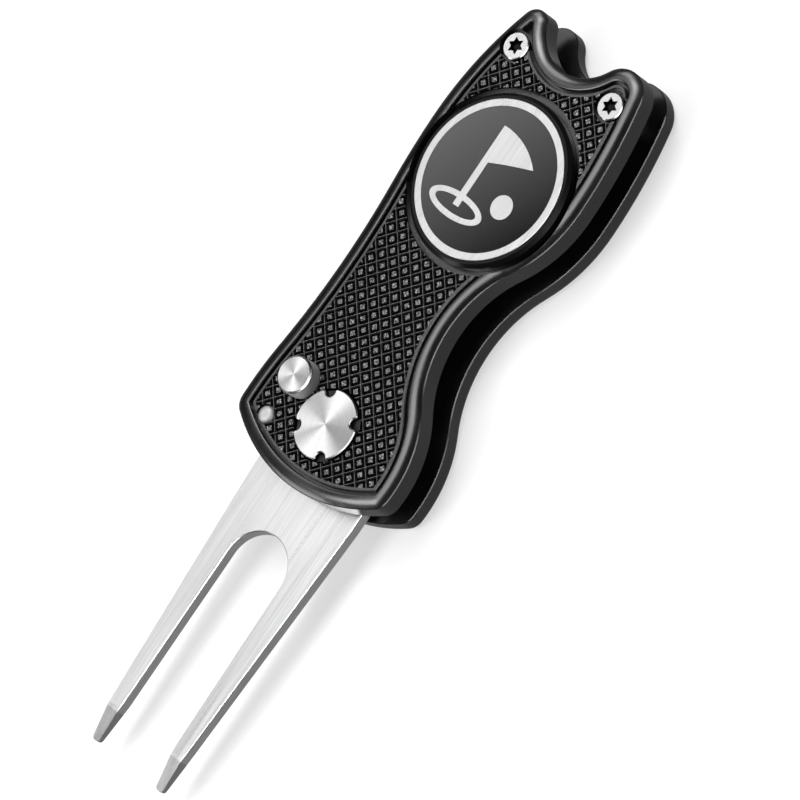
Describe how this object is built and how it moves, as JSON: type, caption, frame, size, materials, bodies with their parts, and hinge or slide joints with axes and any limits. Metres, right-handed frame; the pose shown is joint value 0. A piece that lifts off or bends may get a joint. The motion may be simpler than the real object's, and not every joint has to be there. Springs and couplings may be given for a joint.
{
  "type": "divot repair tool",
  "caption": "Folding golf divot repair tool: a waisted two-cover handle, a steel fork that swings out of it, a release button and a lift-off magnetic ball marker.",
  "frame": {"origin": "centre of the bounding box's bottom face, with the tool lying on its back and the fork open", "axes": "+X to the right seen from the front with the ears up, +Y along the handle from the fork's tips to the ears, +Z out of the front cover"},
  "size_m": [0.0302, 0.1164, 0.0126],
  "materials": {
    "black_cover": "satin black coating",
    "grip_panel": "gunmetal, diamond knurled",
    "black_spacer": "matte black coating",
    "bright_steel": "bright plated",
    "pivot_steel": "turned rings",
    "washer_bronze": "plain bronze",
    "spring_steel": "drawn wire",
    "fork_steel": "brushed along the prongs",
    "button_steel": "spun top",
    "marker_rim": "gloss black nickel",
    "marker_steel": "brushed along the handle",
    "marker_enamel": "charcoal enamel",
    "emblem_metal": "polished",
    "magnet_nickel": "nickel plated"
  },
  "bodies": {
    "handle": {"front_cover": "black_cover", "back_cover": "black_cover", "front_grip_panel": "grip_panel", "front_ear_panel": "grip_panel", "back_grip_panel": "grip_panel", "spine_spacer": "black_spacer", "spine_dowels": "bright_steel", "ear_standoffs": "black_spacer", "front_ear_screws": "bright_steel", "rear_ear_screws": "bright_steel", "pivot_barrel": "pivot_steel", "pivot_cap": "pivot_steel", "rear_washer": "washer_bronze", "front_washer": "washer_bronze", "torsion_spring": "spring_steel", "stop_pin": "bright_steel", "marker_magnet": "magnet_nickel"},
    "fork": {"fork": "fork_steel"},
    "button": {"release_button": "button_steel", "lock_plunger": "bright_steel", "button_spring": "spring_steel"},
    "ball_marker": {"marker_base": "marker_rim", "marker_plate": "marker_steel", "marker_enamel": "marker_enamel", "marker_emblem": "emblem_metal"}
  },
  "joints": [
    {"name": "fork_swing", "type": "hinge", "parent": "handle", "child": "fork", "pos_m": [0, -0.0045, 0.00513], "axis": [0, 0, 1], "range_deg": [0, 180], "stiffness_Nm_per_rad": 0.001, "springref_deg": -57.3},
    {"name": "button_press", "type": "slide", "parent": "handle", "child": "button", "axis": [0, 0, -1], "range_m": [0, 0.00205], "stiffness_N_per_m": 900, "springref_m": -0.001, "deforming": ["button_spring"]},
    {"name": "marker_lift", "type": "slide", "parent": "handle", "child": "ball_marker", "axis": [0, 0, 1], "range_m": [0, 0.008]}
  ]
}
